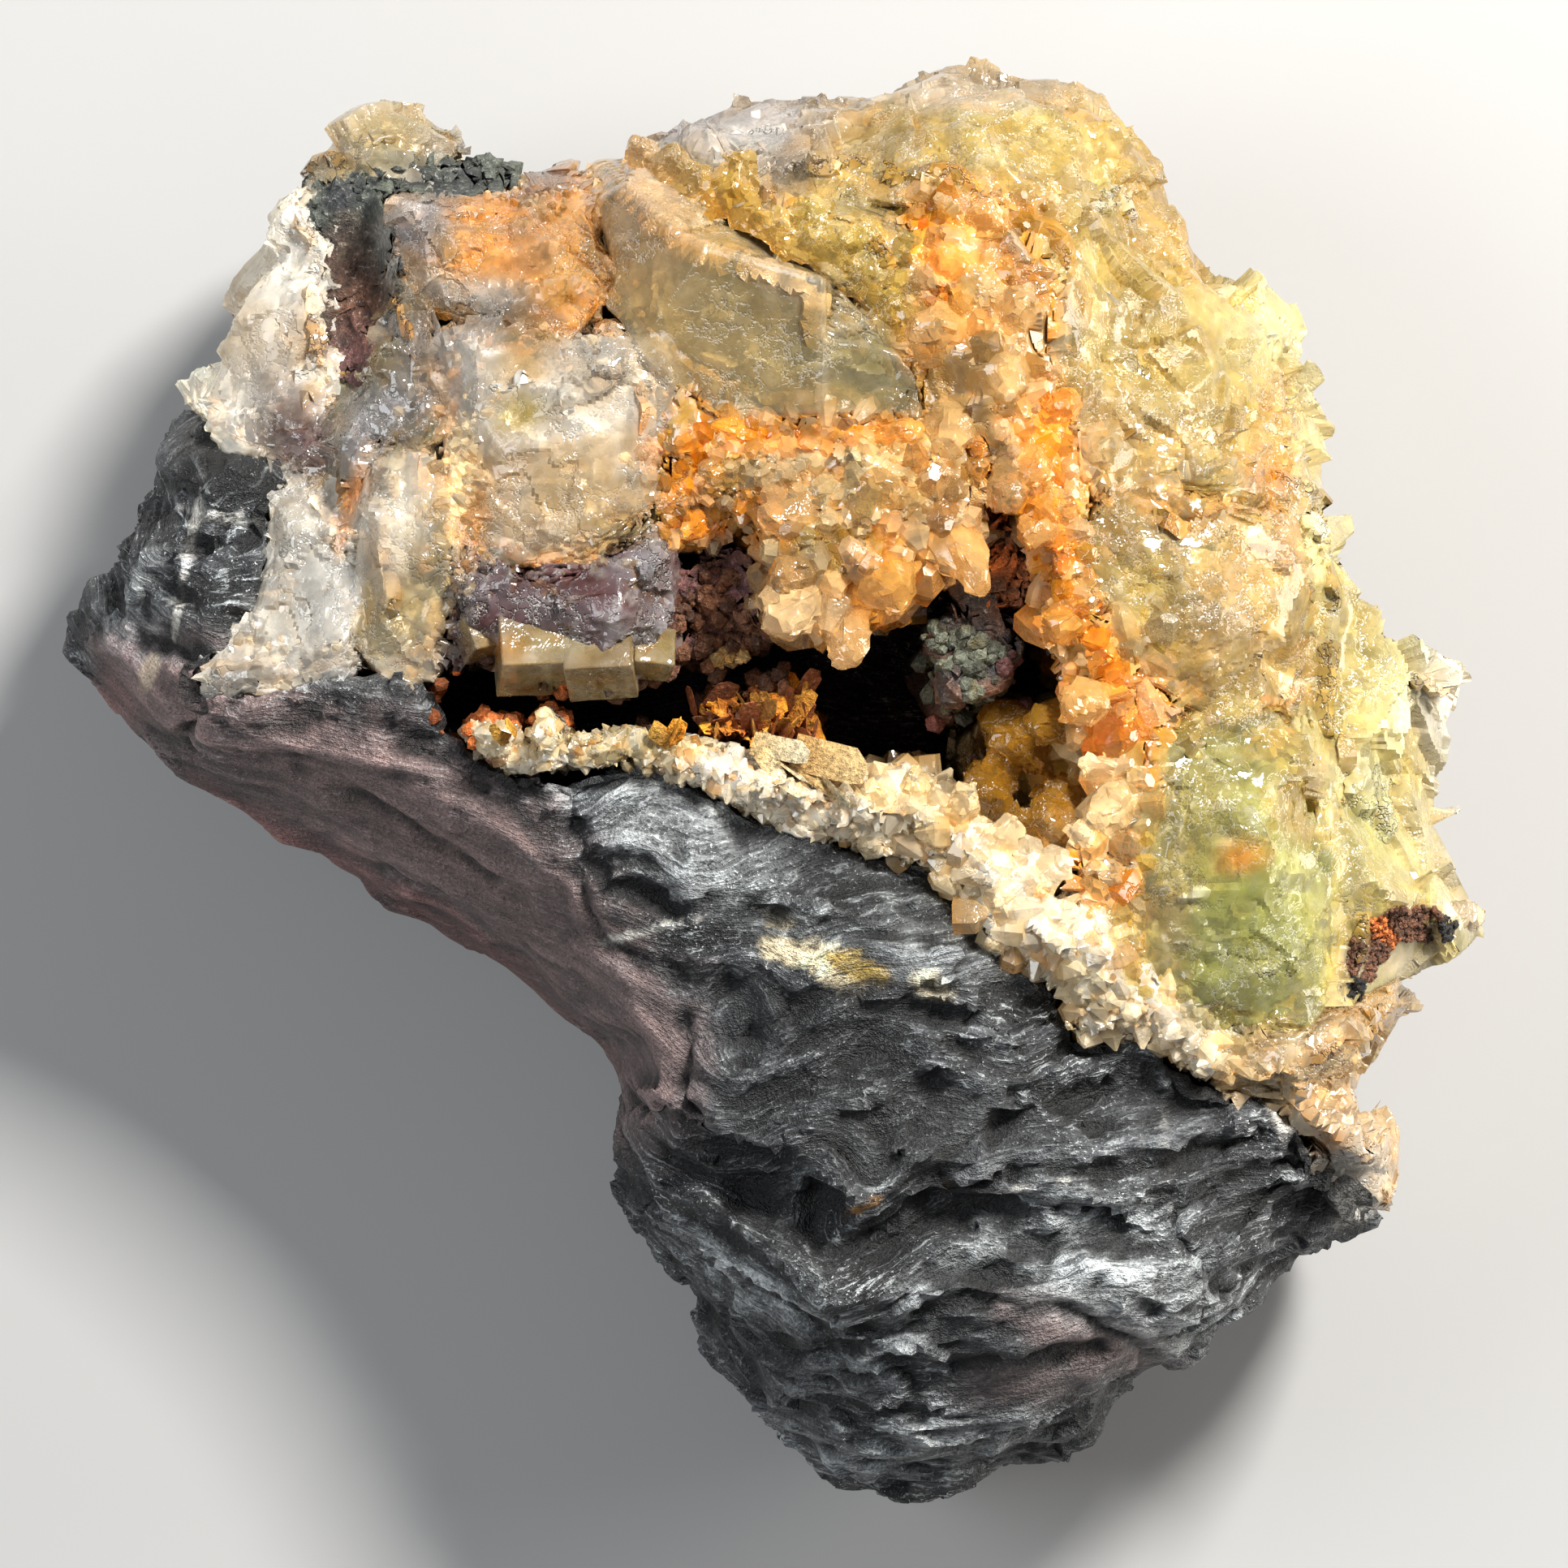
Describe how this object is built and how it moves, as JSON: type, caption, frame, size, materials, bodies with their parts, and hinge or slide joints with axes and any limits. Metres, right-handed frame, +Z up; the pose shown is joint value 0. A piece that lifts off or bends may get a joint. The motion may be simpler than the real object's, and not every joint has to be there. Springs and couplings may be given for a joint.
{
  "type": "fluorite cluster",
  "caption": "Yellow-green fluorite crystals and drusy quartz round an open vug, on folded dark schist, lying on its flat back.",
  "frame": {"origin": "middle of the bounding box, on the surface that the specimen rests on", "axes": "+Z up, out of the display face; +Y towards the fluorite crest; +X towards the bright fluorite wing"},
  "size_m": [0.0881, 0.0882, 0.0418],
  "materials": {
    "schist": "foliated, mica sheen",
    "vein_quartz": "milky, broken",
    "druse_quartz": "small glossy crystals, iron stained",
    "white_druse": "small glossy crystals",
    "fluorite_yellow": "glassy cleavage faces",
    "fluorite_olive": "glassy, smoky",
    "fluorite_green": "glassy",
    "fluorite_pale": "glassy, veiled",
    "fluorite_purple": "glassy, tinted",
    "fluorite_stained": "iron stained",
    "chlorite": "matt, granular",
    "iron_crust": "matt, earthy"
  },
  "bodies": {
    "root": {"chlorite_clump": "chlorite", "chlorite_seam": "chlorite", "fluorite_corner_crystal": "fluorite_pale", "fluorite_crest": "fluorite_yellow", "fluorite_cube_row": "fluorite_purple", "fluorite_green_crystal": "fluorite_green", "fluorite_honey_wedge": "fluorite_yellow", "fluorite_left_column": "fluorite_pale", "fluorite_olive_crystal": "fluorite_olive", "fluorite_pale_block": "fluorite_pale", "fluorite_stained_crystal": "fluorite_stained", "fluorite_tan_crystal": "fluorite_yellow", "fluorite_vug_crystals": "fluorite_stained", "fluorite_wing": "fluorite_green", "hematite_crust": "iron_crust", "limonite_boxwork": "iron_crust", "quartz_amber_band": "druse_quartz", "quartz_center_cluster": "druse_quartz", "quartz_left_shoulder": "vein_quartz", "quartz_lilac_block": "vein_quartz", "quartz_lower_block": "vein_quartz", "quartz_point": "white_druse", "quartz_vein": "vein_quartz", "quartz_vug_lip": "white_druse", "rust_blades": "iron_crust", "schist_matrix": "schist"}
  },
  "joints": []
}
